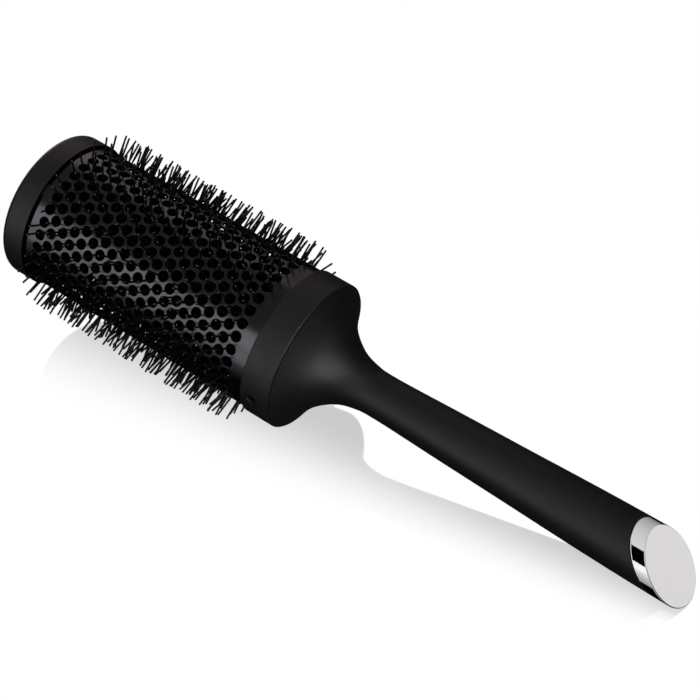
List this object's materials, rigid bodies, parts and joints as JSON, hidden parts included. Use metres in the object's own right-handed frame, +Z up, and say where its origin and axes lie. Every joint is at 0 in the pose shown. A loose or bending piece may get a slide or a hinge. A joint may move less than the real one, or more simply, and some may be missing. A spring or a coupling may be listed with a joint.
{
  "type": "round hair brush",
  "caption": "Round barrel hair brush: vented metal barrel with straight bristles, rounded front cap, collar, flared slim handle and a slanted plated end cap.",
  "frame": {"origin": "on the table, under the middle of the brush's overall box, with the brush lying at rest on its rearmost bristles and its handle's end", "axes": "+X along the brush towards the handle's end, +Z up from the table, +Y to the far side; the brush's own axis lies in the XZ plane and slopes down towards +X"},
  "size_m": [0.2717, 0.071, 0.0823],
  "materials": {
    "barrel_coating": "satin ceramic coating",
    "black_plastic": "matte",
    "soft_touch": "soft-touch matte",
    "core_plastic": "matte",
    "bristle_nylon": "satin",
    "wire_steel": "drawn wire",
    "pin_steel": "blackened",
    "chrome_end": "mirror band, satin face"
  },
  "bodies": {
    "root": {"barrel_tube": "barrel_coating", "front_cap": "black_plastic", "collar_ring": "black_plastic", "collar_pins": "pin_steel", "core_wire_a": "wire_steel", "core_wire_b": "wire_steel", "handle_core": "core_plastic", "handle_grip": "soft_touch", "end_cap": "chrome_end", "bristle_ring_01": "bristle_nylon", "bristle_ring_02": "bristle_nylon", "bristle_ring_03": "bristle_nylon", "bristle_ring_04": "bristle_nylon", "bristle_ring_05": "bristle_nylon", "bristle_ring_06": "bristle_nylon", "bristle_ring_07": "bristle_nylon", "bristle_ring_08": "bristle_nylon", "bristle_ring_09": "bristle_nylon", "bristle_ring_10": "bristle_nylon", "bristle_ring_11": "bristle_nylon", "bristle_ring_12": "bristle_nylon", "bristle_ring_13": "bristle_nylon", "bristle_ring_14": "bristle_nylon", "bristle_ring_15": "bristle_nylon", "bristle_ring_16": "bristle_nylon", "bristle_ring_17": "bristle_nylon", "bristle_ring_18": "bristle_nylon", "bristle_ring_19": "bristle_nylon", "bristle_ring_20": "bristle_nylon", "bristle_ring_21": "bristle_nylon"}
  },
  "joints": []
}
